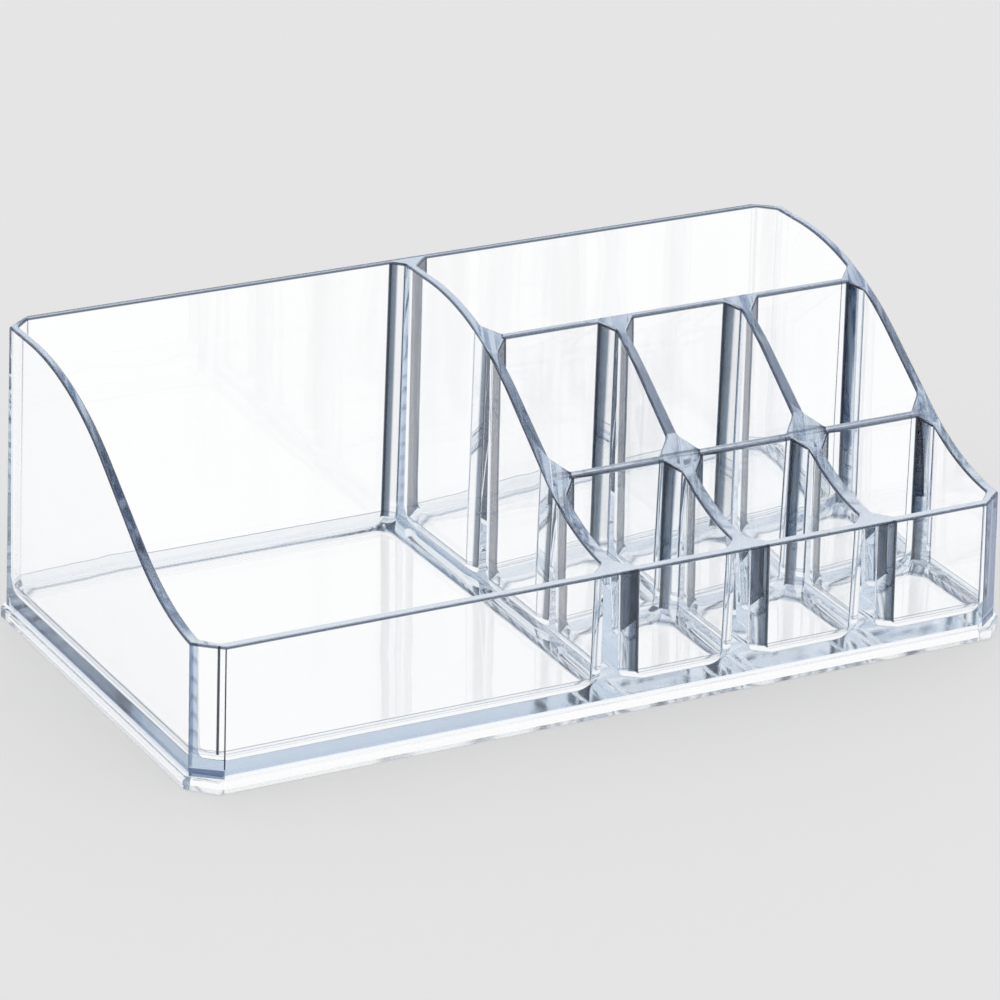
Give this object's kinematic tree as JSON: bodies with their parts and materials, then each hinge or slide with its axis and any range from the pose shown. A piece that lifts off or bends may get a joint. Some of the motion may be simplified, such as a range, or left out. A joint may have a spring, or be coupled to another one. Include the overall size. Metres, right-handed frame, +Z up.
{
  "type": "pyramid organizer",
  "caption": "Clear stepped countertop organizer: one large compartment beside a back slot and two rows of square pockets, with S-curved dividers on a flanged base.",
  "frame": {"origin": "centre of the base frame's underside, on the table", "axes": "+X along the front to the right, +Y from the front to the back, +Z up"},
  "size_m": [0.23, 0.1256, 0.0789],
  "materials": {
    "clear_body": "clear, polished",
    "clear_base": "clear, polished"
  },
  "bodies": {
    "root": {"base_frame": "clear_base", "floor_panel": "clear_body", "back_wall": "clear_body", "front_wall": "clear_body", "left_end_wall": "clear_body", "right_end_wall": "clear_body", "corner_panel_front_left": "clear_body", "corner_panel_front_right": "clear_body", "corner_panel_back_left": "clear_body", "corner_panel_back_right": "clear_body", "tall_divider": "clear_body", "rear_cross_wall": "clear_body", "pocket_divider_left": "clear_body", "pocket_divider_right": "clear_body", "middle_cross_wall_left": "clear_body", "middle_cross_wall_centre": "clear_body", "middle_cross_wall_right": "clear_body"}
  },
  "joints": []
}
